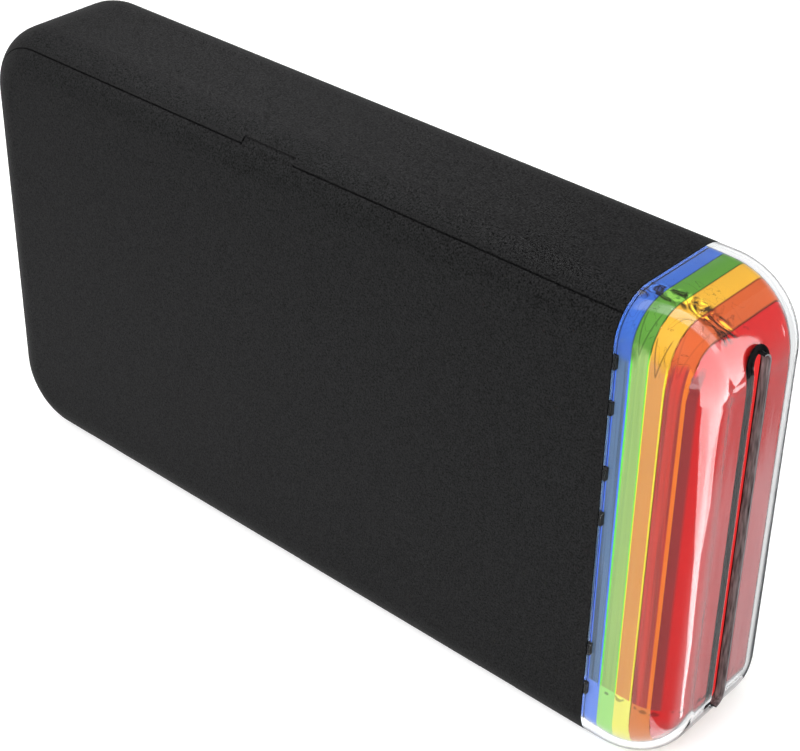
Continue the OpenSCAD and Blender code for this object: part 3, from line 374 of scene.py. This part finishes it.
    # Painted shade and dark marks darken the colour towards one near black
    put_out(tree, result,
            mix_colours(tree, times(dark, 0.85), colour, SHADE_AND_MARKS),
            swayed(tree, swirl, 0.08, given["Roughness"]),
            bumped(tree, 0.15, 0.1, swirl))
    return tree


GRAIN, LINES, BAND = moulded_grain(), drawn_lines(), dyed_band()


# Materials

def finished(name, group, shader_values, **given):
    """A material whose group gives the colour, roughness and normal of one Principled shader."""
    material, tree = new_material(name)
    surface = add(tree, "ShaderNodeGroup", {"node_tree": group}, **given)
    shader = add(tree, "ShaderNodeBsdfPrincipled")
    for key, value in shader_values.items():
        shader.inputs[key].default_value = value
    for (label, _), key in zip(SURFACE, ("Base Color", "Roughness", "Normal")):
        tree.links.new(surface.outputs[label], shader.inputs[key])
    show(tree, shader.outputs[0])
    return material


def plastic(name, colour, roughness, size, depth=0.15, tone=0.12, level=0.5, speckle=0.1,
            joint=FAR_AWAY, glow=0.0):
    """Moulded plastic; its grain's size and its joint's place are in millimetres."""
    shader_values = {"Specular IOR Level": level}
    if glow:
        shader_values.update({"Emission Color": (*colour, 1), "Emission Strength": glow})
    return finished(name, GRAIN, shader_values, Colour=(*colour, 1), Roughness=roughness,
                    Grain_Size=size, Grain_Depth=depth, Tone=tone, Speckle=speckle,
                    Joint_Place=joint * MM)


def metal(name, colour, roughness):
    return finished(name, LINES, {"Metallic": 1.0}, Colour=(*colour, 1), Roughness=roughness,
                    Stretch=(1, 1, 0.04), Depth=0.12)


def dyed_plastic(name, start, end, lines, streaks, loop, level=0.1, roughness=0.3, milk=0.0,
                 coat=0.0, **colours):
    """A dyed band from one place to another, with the widths of its edge lines, and the foot and
    strength of its loop."""
    return finished(name, BAND, {"Specular IOR Level": level, "Coat Weight": coat},
                    Start=start, End=end, Start_Line=lines[0], End_Line=lines[1],
                    Streaks=streaks, Loop_Foot=loop[0], Loop=loop[1], Roughness=roughness,
                    Milk=milk,
                    **{f"{part.title()}_Colour": (*colour, 1) for part, colour in colours.items()})


def clear_plastic(name):
    """Clear moulding, with painted shade where it is looked at along its skin, for the dark edges
    of thick clear plastic.
    """
    material, tree = new_material(name)
    along_skin = add(tree, "ShaderNodeLayerWeight", Blend=0.5).outputs["Facing"]
    edge = map_range(tree, along_skin, 0.66, 0.8, kind="SMOOTHSTEP")
    edge_shade_colour = mix_colours(tree, edge, (0.97, 0.985, 0.99, 1), (0.03, 0.03, 0.035, 1))
    waves = noise(tree, object_place(tree), 170.0)
    shader = add(tree, "ShaderNodeBsdfPrincipled", Base_Color=edge_shade_colour, Roughness=0.0, IOR=1.49,
                 Transmission_Weight=1.0, Specular_Tint=(0, 0, 0, 1),
                 Normal=bumped(tree, 0.1, 0.05, waves))
    show(tree, shader.outputs[0])
    return material


SHELL_LOOK = {"colour": (0.0098, 0.0098, 0.01), "roughness": 0.6, "size": 0.27, "depth": 0.4,
              "tone": 0.3, "level": 0.05, "speckle": 4.2, "joint": SEAM_Y}

FINISH = {
    "shell_black": plastic("shell black", **SHELL_LOOK),
    "cover_black": plastic("cover black", **SHELL_LOOK),
    "clear": clear_plastic("clear cap plastic"),
    # Each band's top, side and foot colours are lit and shaded copies of its dye, the foot brighter
    # as painted light from below; the glint colours are painted highlights, and on the rings the
    # line colours are too
    "blue": dyed_plastic(
        "blue ring plastic", CAP_START, GREEN_X - RING_GAP, (0.25, 0.3), 0.8, (73.0, 0.12),
        top=(0.05, 0.14, 0.53), side=(0.1, 0.18, 0.33), foot=(0.14, 0.27, 0.84),
        line=(0.07, 0.2, 0.95), streak=(0.04, 0.075, 0.13), glint=(0.1, 0.25, 0.75)),
    "green": dyed_plastic(
        "green ring plastic", GREEN_X, YELLOW_X - RING_GAP, (0.35, 0.2), 0.4, (72.6, 0.55),
        top=(0.1, 0.27, 0.04), side=(0.35, 0.54, 0.15), foot=(0.38, 0.75, 0.21),
        line=(0.15, 0.85, 0.07), streak=(0.22, 0.4, 0.12), glint=(0.25, 0.55, 0.08)),
    "yellow": dyed_plastic(
        "yellow ring plastic", YELLOW_X, ORANGE_X - RING_GAP, (0.15, 0.35), 0.5, (70.4, 0.7),
        top=(0.69, 0.36, 0.035), side=(0.7, 0.31, 0.08), foot=(0.88, 0.83, 0.17),
        line=(0.9, 0.78, 0.04), streak=(0.68, 0.24, 0.06), glint=(1.0, 0.85, 0.06)),
    "orange": dyed_plastic(
        "orange ring plastic", ORANGE_X, RED_X - RING_GAP, (0.1, 0.6), 0.8, (71.2, 0.2),
        top=(0.54, 0.1, 0.028), side=(0.55, 0.055, 0.04), foot=(0.66, 0.2, 0.055),
        line=(0.72, 0.17, 0.03), streak=(0.25, 0.045, 0.04), glint=(1.0, 0.55, 0.05)),
    "red": dyed_plastic(
        "red insert plastic", RED_X, 80.0, (1.3, 0.1), 0.0, (40.0, 0.0),
        level=1.0, roughness=0.05, milk=0.45, coat=1.0,
        top=(0.64, 0.018, 0.018), side=(0.62, 0.022, 0.022), foot=(0.64, 0.018, 0.018),
        line=(0.3, 0.04, 0.04), streak=(0.3, 0.05, 0.05), glint=(0.75, 0.1, 0.03)),
    "black_gloss": plastic("black slot plastic", (0.011, 0.011, 0.0115), 0.5, 0.5, 0.02, 0.3, 0.0),
    "dark_plastic": plastic("dark inner plastic", (0.012, 0.012, 0.013), 0.6, 0.5, level=0.1),
    "frame_grey": plastic("chassis plastic", (0.07, 0.075, 0.082), 0.5, 0.6, 0.2),
    "nylon": plastic("nylon", (0.78, 0.74, 0.62), 0.4, 0.8, 0.05),
    "steel": metal("rolled steel", (0.56, 0.57, 0.58), 0.3),
    "aluminium": metal("extruded aluminium", (0.62, 0.64, 0.66), 0.4),
    "brass": metal("turned brass", (0.75, 0.55, 0.22), 0.25),
    "rubber": plastic("ground rubber", (0.028, 0.028, 0.028), 0.8, 0.12, 0.5, 0.3, 0.3),
    "board_green": plastic("solder mask", (0.015, 0.1, 0.045), 0.3, 1.2, 0.1, 0.3),
    "chip_black": plastic("chip package", (0.02, 0.02, 0.022), 0.55, 0.15, 0.2),
    "cell_wrap": plastic("cell foil", (0.42, 0.46, 0.52), 0.35, 4.0, 0.3, 0.15),
    "ceramic": plastic("glazed ceramic", (0.72, 0.66, 0.52), 0.15, 0.6, 0.05),
    "cartridge_grey": plastic("cartridge plastic", (0.035, 0.037, 0.04), 0.5, 0.4, 0.25, 0.2),
    "ribbon_dye": plastic("dye ribbon film", (0.42, 0.06, 0.2), 0.15, 3.0, 0.1, 0.2),
    "paper": plastic("coated paper", (0.86, 0.86, 0.83), 0.35, 0.2, 0.08, 0.05),
    "wire": plastic("wire insulation", (0.5, 0.02, 0.02), 0.5, 0.5, 0.1),
    "light_pipe": plastic("frosted light pipe", (0.85, 0.85, 0.85), 0.3, 0.3, 0.1),
}

SLOT_WALL = finished("ribbed slot wall", LINES, {"Specular IOR Level": 0.2}, Roughness=0.5,
                     Colour=(0.13, 0.125, 0.125, 1), Stretch=(1, 1, 0.12), Depth=0.3, Tone=3.5)
SLOT_RIM_HIGHLIGHT = plastic("slot rim highlight", (0.3, 0.3, 0.31), 0.5, 0.4)
# Glows, though it is no lamp: painted light on the top of the pad in the slot
LIT_RED = plastic("red insert under the slot", (0.6, 0.02, 0.02), 0.4, 0.4, glow=0.8)


def dress_nodes():
    slots = {part["node"]: part["material_slot"] for part in RECORD["subparts"]}
    for name, node in NODES.items():
        node.data.materials.clear()
        node.data.materials.append(FINISH[slots[name]])


# Hand tools

def activate(piece):
    bpy.ops.object.select_all(action="DESELECT")
    piece.select_set(True)
    bpy.context.view_layer.objects.active = piece


def open_mesh(piece, kind, test=None):
    """Opens a mesh and selects the edges or faces that pass a test of their place, or all."""
    activate(piece)
    bpy.ops.object.mode_set(mode="EDIT")
    bpy.ops.mesh.select_mode(type=kind)
    bpy.ops.mesh.select_all(action="DESELECT" if test else "SELECT")
    if test:
        mesh = bmesh.from_edit_mesh(piece.data)
        for part in mesh.edges if kind == "EDGE" else mesh.faces:
            if test(part):
                part.select_set(True)
        bmesh.update_edit_mesh(piece.data)


def close_mesh():
    bpy.ops.object.mode_set(mode="OBJECT")


def middle(face):
    """The middle of a face, in millimetres."""
    return sum((v.co for v in face.verts), Vector()) / len(face.verts) / MM


def add_block(name, low, high):
    """A block between two corners in millimetres, with its place kept in its mesh."""
    low, high = Vector(low) * MM, Vector(high) * MM
    bpy.ops.object.select_all(action="DESELECT")
    bpy.ops.mesh.primitive_cube_add(size=1, location=(low + high) / 2, scale=high - low)
    block = bpy.context.object
    block.name = name
    bpy.ops.object.transform_apply(location=True, rotation=True, scale=True)
    return block


def round_edges(piece, radius, segments, test):
    """Rounds the edges that pass a test; the radius is in millimetres."""
    open_mesh(piece, "EDGE", test)
    bpy.ops.mesh.bevel(offset=radius * MM, segments=segments, profile=0.5, clamp_overlap=False)
    close_mesh()


def rounded_slab(name, inset):
    """The printer's outer form, moved inwards: a slab with round corners and round edges."""
    half = Vector(BODY) / 2 - Vector((inset, inset, inset))
    centre = Vector((0, 0, BODY[2] / 2))
    radius = EDGE_R - inset
    flat = Vector((half.x, half.y - radius, half.z))
    slab = add_block(name, centre - flat, centre + flat)
    round_edges(slab, CORNER_R - inset, CORNER_STEPS,
                lambda edge: abs(edge.verts[0].co.y - edge.verts[1].co.y) > MM)
    for side in (-1, 1):
        open_mesh(slab, "FACE", lambda face: face.normal.y * side > 0.99)
        for step in range(EDGE_STEPS):
            low, high = (math.radians(90 * (step + k) / EDGE_STEPS) for k in (0, 1))
            bpy.ops.mesh.inset(thickness=radius * (math.cos(low) - math.cos(high)) * MM,
                               depth=radius * (math.sin(high) - math.sin(low)) * MM)
        close_mesh()
    return slab


def trim(piece, x, keep):
    """Cuts a piece across the body and keeps its part towards +X or -X."""
    open_mesh(piece, "EDGE")
    bpy.ops.mesh.bisect(plane_co=Vector((x, 0, 0)) * MM, plane_no=(keep, 0, 0), clear_inner=True)
    close_mesh()


def turn_inside_out(piece):
    open_mesh(piece, "FACE")
    bpy.ops.mesh.flip_normals()
    close_mesh()


def join(piece, other):
    activate(piece)
    other.select_set(True)
    bpy.ops.object.join()
    return piece


def bridge_at(piece, x):
    """Closes a wall between its outer and inner outline at a plane across the body."""
    open_mesh(piece, "EDGE", lambda edge: all(abs(v.co.x / MM - x) < 0.01 for v in edge.verts))
    bpy.ops.mesh.bridge_edge_loops()
    close_mesh()


def shade_smooth(piece):
    activate(piece)
    bpy.ops.object.shade_smooth_by_angle(angle=SMOOTH_ANGLE)


def smooth(piece):
    """Turns all faces outwards and shades the piece smooth."""
    open_mesh(piece, "FACE")
    bpy.ops.mesh.normals_make_consistent(inside=False)
    close_mesh()
    shade_smooth(piece)


def subtract(piece, cutter):
    """Cuts a piece with another one, which is used up."""
    activate(piece)
    hole = piece.modifiers.new("hole", "BOOLEAN")
    hole.operation = "DIFFERENCE"
    hole.solver = "EXACT"
    hole.object = cutter
    bpy.ops.object.modifier_apply(modifier=hole.name)
    bpy.data.objects.remove(cutter)


def paint_faces(piece, material, test):
    """Gives the faces that pass a test of their place a material of their own."""
    piece.data.materials.append(material)
    for face in piece.data.polygons:
        if test(face.center / MM, face.normal):
            face.material_index = len(piece.data.materials) - 1


def place_piece(piece, body, slot, *nodes):
    piece.data.materials.clear()
    piece.data.materials.append(FINISH[slot])
    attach(piece, body)
    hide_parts(*nodes)


# The coloured end

CUT_FROM, CUT_TO = 70, 80
HOLE_FROM, HOLE_TO = 72, 76


def round_bar(name, x0, x1, y, width, length):
    """A bar with round ends at the slot's height; its depth runs along the body."""
    low, high = SLOT_Z - length / 2, SLOT_Z + length / 2
    bar = add_block(name, (x0, y - width / 2, low), (x1, y + width / 2, high))
    round_edges(bar, width / 2 - 0.002, SLOT_STEPS,
                lambda edge: abs(edge.verts[0].co.x - edge.verts[1].co.x) > 0.01 * MM)
    return bar


def slot_bar(name, x0, x1, margin=0.0):
    """A bar that fills the slot's mouth, made wider all round by a margin."""
    return round_bar(name, x0, x1, SLOT_Y, SLOT_W + 2 * margin, SLOT_L + 2 * margin)


def in_mouth(place, y, width, length):
    """Whether a place lies in an upright opening, seen from the end."""
    return (abs(place.y - y) < width / 2 + TOUCH
            and abs(place.z - SLOT_Z) < length / 2 + TOUCH)


def hollow_slice(name, outer, inner, x0, x1=None):
    """A slice of the rounded form with a wall between two insets, open at each cut."""
    skins = []
    for inset in (outer, inner):
        skin = rounded_slab(name, inset)
        trim(skin, x0, 1)
        if x1 is not None:
            trim(skin, x1, -1)
        skins.append(skin)
    turn_inside_out(skins[1])
    wall = join(*skins)
    wall.name = name
    bridge_at(wall, x0)
    if x1 is not None:
        bridge_at(wall, x1)
    smooth(wall)
    return wall


def make_clear_cap():
    """The clear cap; the far side of its slot is left open, so that the lining shows there."""
    cap = hollow_slice("cap_moulding", 0, CAP_WALL, CAP_START)
    subtract(cap, slot_bar("slot cutter", CUT_FROM, CUT_TO, COLLAR_WALL))
    far_side = SLOT_Y + SLOT_W / 2 + COLLAR_WALL + TOUCH
    open_mesh(cap, "FACE", lambda face: abs(face.normal.x) < 0.3
              and HOLE_FROM < middle(face).x < HOLE_TO and SLOT_Y < middle(face).y < far_side)
    bpy.ops.mesh.delete(type="FACE")
    close_mesh()
    shade_smooth(cap)
    place_piece(cap, "housing", "clear", "clear_end_cap")


def make_rings():
    starts = (CAP_START, GREEN_X, YELLOW_X, ORANGE_X, RED_X)
    for colour, x0, following in zip(("blue", "green", "yellow", "orange"), starts, starts[1:]):
        band = hollow_slice(f"ring_{colour}", RING_OUT, RING_IN, x0, following - RING_GAP)
        place_piece(band, "housing", colour, f"{colour}_ring")


def make_red_insert():
    """The insert with a recess for the slot's flange, a pad in the slot and the paper's path."""
    insert = hollow_slice("end_insert", RING_OUT, RING_IN, RED_X)
    subtract(insert, slot_bar("recess cutter", FLANGE_FOOT - FLANGE_GAP, CUT_TO,
                              COLLAR_WALL + FLANGE_W + FLANGE_GAP))
    pad = slot_bar("pad", FLANGE_FOOT - PAD_ROOT, PAD_TOP, -PAD_GAP)
    for part in (insert, pad):
        subtract(part, round_bar("path cutter", CUT_FROM, CUT_TO, PATH_Y, PATH_W, PATH_L))
    insert = join(insert, pad)
    insert.name = "end_insert"
    shade_smooth(insert)
    place_piece(insert, "housing", "red", "red_end_insert")
    # The pad's top in the slot glows red: painted light
    paint_faces(insert, LIT_RED, lambda place, normal: abs(place.x - PAD_TOP) < TOUCH
                and normal.x > 0.9 and in_mouth(place, SLOT_Y, SLOT_W, SLOT_L))
    # The paper path's walls take the black slot plastic: painted shade inside the path
    paint_faces(insert, FINISH["black_gloss"], lambda place, normal: abs(normal.x) < 0.1
                and place.x > HOLE_FROM and in_mouth(place, PATH_Y, PATH_W, PATH_L))


def make_slot_bezel():
    """The slot's lining: a flange under the clear wall and a thin collar through it, whose near
    side is cut off above the flange."""
    rim = END_X - COLLAR_SINK
    collar = slot_bar("slot_lining", FLANGE_FOOT, rim, COLLAR_WALL)
    flange = slot_bar("flange", FLANGE_FOOT, FLANGE_TOP, COLLAR_WALL + FLANGE_W)
    for part in (collar, flange):
        subtract(part, slot_bar("slot cutter", CUT_FROM, CUT_TO))
    subtract(collar, add_block("near side", (FLANGE_TOP + 0.01, -10, 0), (CUT_TO, SLOT_Y, 80)))
    bezel = join(collar, flange)
    bezel.name = "slot_lining"
    smooth(bezel)
    place_piece(bezel, "housing", "black_gloss", "slot_bezel")
    # The collar's top on the far side is a lighter grey: a painted highlight along the rim
    paint_faces(bezel, SLOT_RIM_HIGHLIGHT, lambda place, normal: place.x > rim - 0.01 and place.y > SLOT_Y)
    paint_faces(bezel, SLOT_WALL, lambda place, normal: abs(normal.x) < 0.1
                and in_mouth(place, SLOT_Y, SLOT_W, SLOT_L))


# Studio; places of lamps in metres, places of cards in millimetres

FILL = 0.45
DIM_FROM, DIM_TO, OVERHEAD = 0.25, 0.6, 0.1


def seen_and_lighting(tree, seen, lighting):
    """Shows one shader to camera, glossy and transmission rays, and another to all others."""
    path = add(tree, "ShaderNodeLightPath").outputs
    looks = math_node(tree, "MAXIMUM", path["Is Camera Ray"], path["Is Glossy Ray"])
    looks = math_node(tree, "MAXIMUM", looks, path["Is Transmission Ray"])
    return add(tree, "ShaderNodeMixShader", i0=looks, i1=lighting, i2=seen).outputs[0]


def build_world():
    """A white surround. Reflections that haven't met a matt face see it grow dark overhead."""
    world = bpy.data.worlds.new("studio")
    bpy.context.scene.world = world
    world.use_nodes = True
    tree = world.node_tree
    tree.nodes.clear()
    up = separate(tree, add(tree, "ShaderNodeTexCoord").outputs["Generated"])[2]
    dim = map_range(tree, up, DIM_FROM, DIM_TO, 1.0, OVERHEAD, "SMOOTHSTEP")
    path = add(tree, "ShaderNodeLightPath").outputs
    undimmed = math_node(tree, "ADD", path["Diffuse Depth"], path["Is Camera Ray"])
    strength = math_node(tree, "MAXIMUM", dim, undimmed)
    strength = math_node(tree, "MINIMUM", strength, 1.0)
    backdrop = add(tree, "ShaderNodeBackground", Color=WHITE, Strength=strength).outputs[0]
    fill = add(tree, "ShaderNodeBackground", Color=WHITE, Strength=FILL).outputs[0]
    show(tree, seen_and_lighting(tree, backdrop, fill), "ShaderNodeOutputWorld")


def build_floor():
    """A floor that keeps its shadows and glows enough to look white."""
    bpy.ops.object.select_all(action="DESELECT")
    bpy.ops.mesh.primitive_plane_add(size=6)
    floor = bpy.context.object
    floor.name = "floor"
    paint, tree = new_material("pale floor")
    matt = add(tree, "ShaderNodeBsdfDiffuse", Color=(0.8, 0.8, 0.8, 1)).outputs[0]
    glow = add(tree, "ShaderNodeEmission", Color=WHITE, Strength=FILL).outputs[0]
    lit = add(tree, "ShaderNodeAddShader", i0=matt, i1=glow).outputs[0]
    show(tree, seen_and_lighting(tree, lit, matt))
    floor.data.materials.append(paint)


def softbox(name, place, target, size, power):
    lamp = bpy.data.lights.new(name, "AREA")
    lamp.shape = "RECTANGLE"
    lamp.size, lamp.size_y = size
    lamp.energy = power
    holder = bpy.data.objects.new(name, lamp)
    bpy.context.scene.collection.objects.link(holder)
    holder.location = place
    facing = Vector(target) - Vector(place)
    holder.rotation_euler = facing.to_track_quat("-Z", "Y").to_euler()
    holder.visible_camera = False
    holder.visible_glossy = False
    return holder


def light_studio():
    softbox("key softbox", (0.25, -0.8, 0.75), (0, 0, 0.04), (0.7, 0.7), 12.0)
    top = softbox("top softbox", (0.25, 0.3, 0.9), (0, 0, 0.04), (0.6, 0.6), 5.5)
    near = softbox("near softbox", (-0.03, 0.0, 0.2), (-0.03, 0, 0.08), (0.06, 0.04), 0.28)
    top.visible_diffuse = False
    near.visible_transmission = False


def card(name, corners, strength, shown_at, lights=0.0):
    """A card that shows only in reflections, and may light the pieces under the clear cap. Its
    strength at the floor and at 90 mm is multiplied by what the clear cap's outside, its inside and
    the pieces under it are to reflect."""
    mesh = bpy.data.meshes.new(name)
    mesh.from_pydata([Vector(corner) * MM for corner in corners], [],
                     [list(range(len(corners)))])
    sheet = bpy.data.objects.new(name, mesh)
    bpy.context.scene.collection.objects.link(sheet)
    paint, tree = new_material(name)
    path = add(tree, "ShaderNodeLightPath").outputs
    outside, inside, under = shown_at
    through_skins = path["Transmission Depth"]
    level = math_node(tree, "ADD", map_range(tree, through_skins, 0.0, 2.0, outside, inside),
                      map_range(tree, through_skins, 2.0, 4.0, 0.0, under - inside))
    height = separate(tree, object_place(tree))[2]
    by_height = map_range(tree, height, 0.0, 90 * MM, *strength)
    after_bounce = math_node(tree, "GREATER_THAN", path["Diffuse Depth"], 0.5)
    power = add(tree, "ShaderNodeMix", i0=after_bounce, i3=lights,
                i2=math_node(tree, "MULTIPLY", level, by_height)).outputs[0]
    seen = math_node(tree, "MULTIPLY", math_node(tree, "GREATER_THAN", path["Glossy Depth"], 0.5),
                     math_node(tree, "LESS_THAN", path["Diffuse Depth"], 0.5))
    if lights:
        seen = math_node(tree, "MAXIMUM", seen, after_bounce)
    glow = add(tree, "ShaderNodeEmission", Color=WHITE, Strength=power).outputs[0]
    nothing = add(tree, "ShaderNodeBsdfTransparent").outputs[0]
    show(tree, add(tree, "ShaderNodeMixShader", i0=seen, i1=nothing, i2=glow).outputs[0])
    sheet.data.materials.append(paint)
    sheet.visible_camera = False
    sheet.visible_diffuse = False
    sheet.visible_shadow = False


def floor_card(name, outline, height, strength, shown_at):
    card(name, [(x, y, height) for x, y in outline], (strength, strength), shown_at)


def set_cards():
    """White cards draw the highlights of the end; dark ones keep the rest of it free of glare."""
    dark, white = (0.08, 0.9, 0.08), (0.0, 0.25, 1.0)
    floor_card("dark floor card", [(77, -300), (420, -300), (420, 420), (60, 420), (60, 16),
                                   (77, 16)], 0.2, 1, dark)
    card("dark side card", [(176, 118, 0), (176, 420, 0), (176, 420, 260), (176, 118, 260)],
         (1, 1), dark)
    card("white side card", [(175, -80, 0.3), (175, 117, 0.3), (175, 117, 166), (175, -88, 166)],
         (3.8, 2.3), white, 2.7)
    floor_card("white floor wedge", [
        (83, -4.5), (90, -3.5), (101, -1.5), (127, -7), (143, -22), (155, -40), (160, -53),
        (175, -65), (175, 117), (164, 117), (155, 110), (146, 106), (150, 75), (158, 44),
        (149, 35), (132, 32), (123, 13), (99, 6.7), (89, -0.4), (82, -2.8)], 0.5, 2.6, white)
    floor_card("bright floor wedge", [
        (83, -4.5), (90, -2.6), (101, 1.3), (127, -6.6), (144, -3.3), (160, -0.5), (175, -20),
        (175, 108), (156, 104), (155, 75), (162, 44), (157, 16), (140, 16), (123, 11.7),
        (99, 6.7), (89, -0.4), (82, -2.8)], 0.8, 4.0, white)


bpy.context.scene.view_settings.view_transform = "Standard"
aim_camera()
build_world()
build_floor()
light_studio()
set_cards()
dress_nodes()
make_clear_cap()
make_rings()
make_red_insert()
make_slot_bezel()
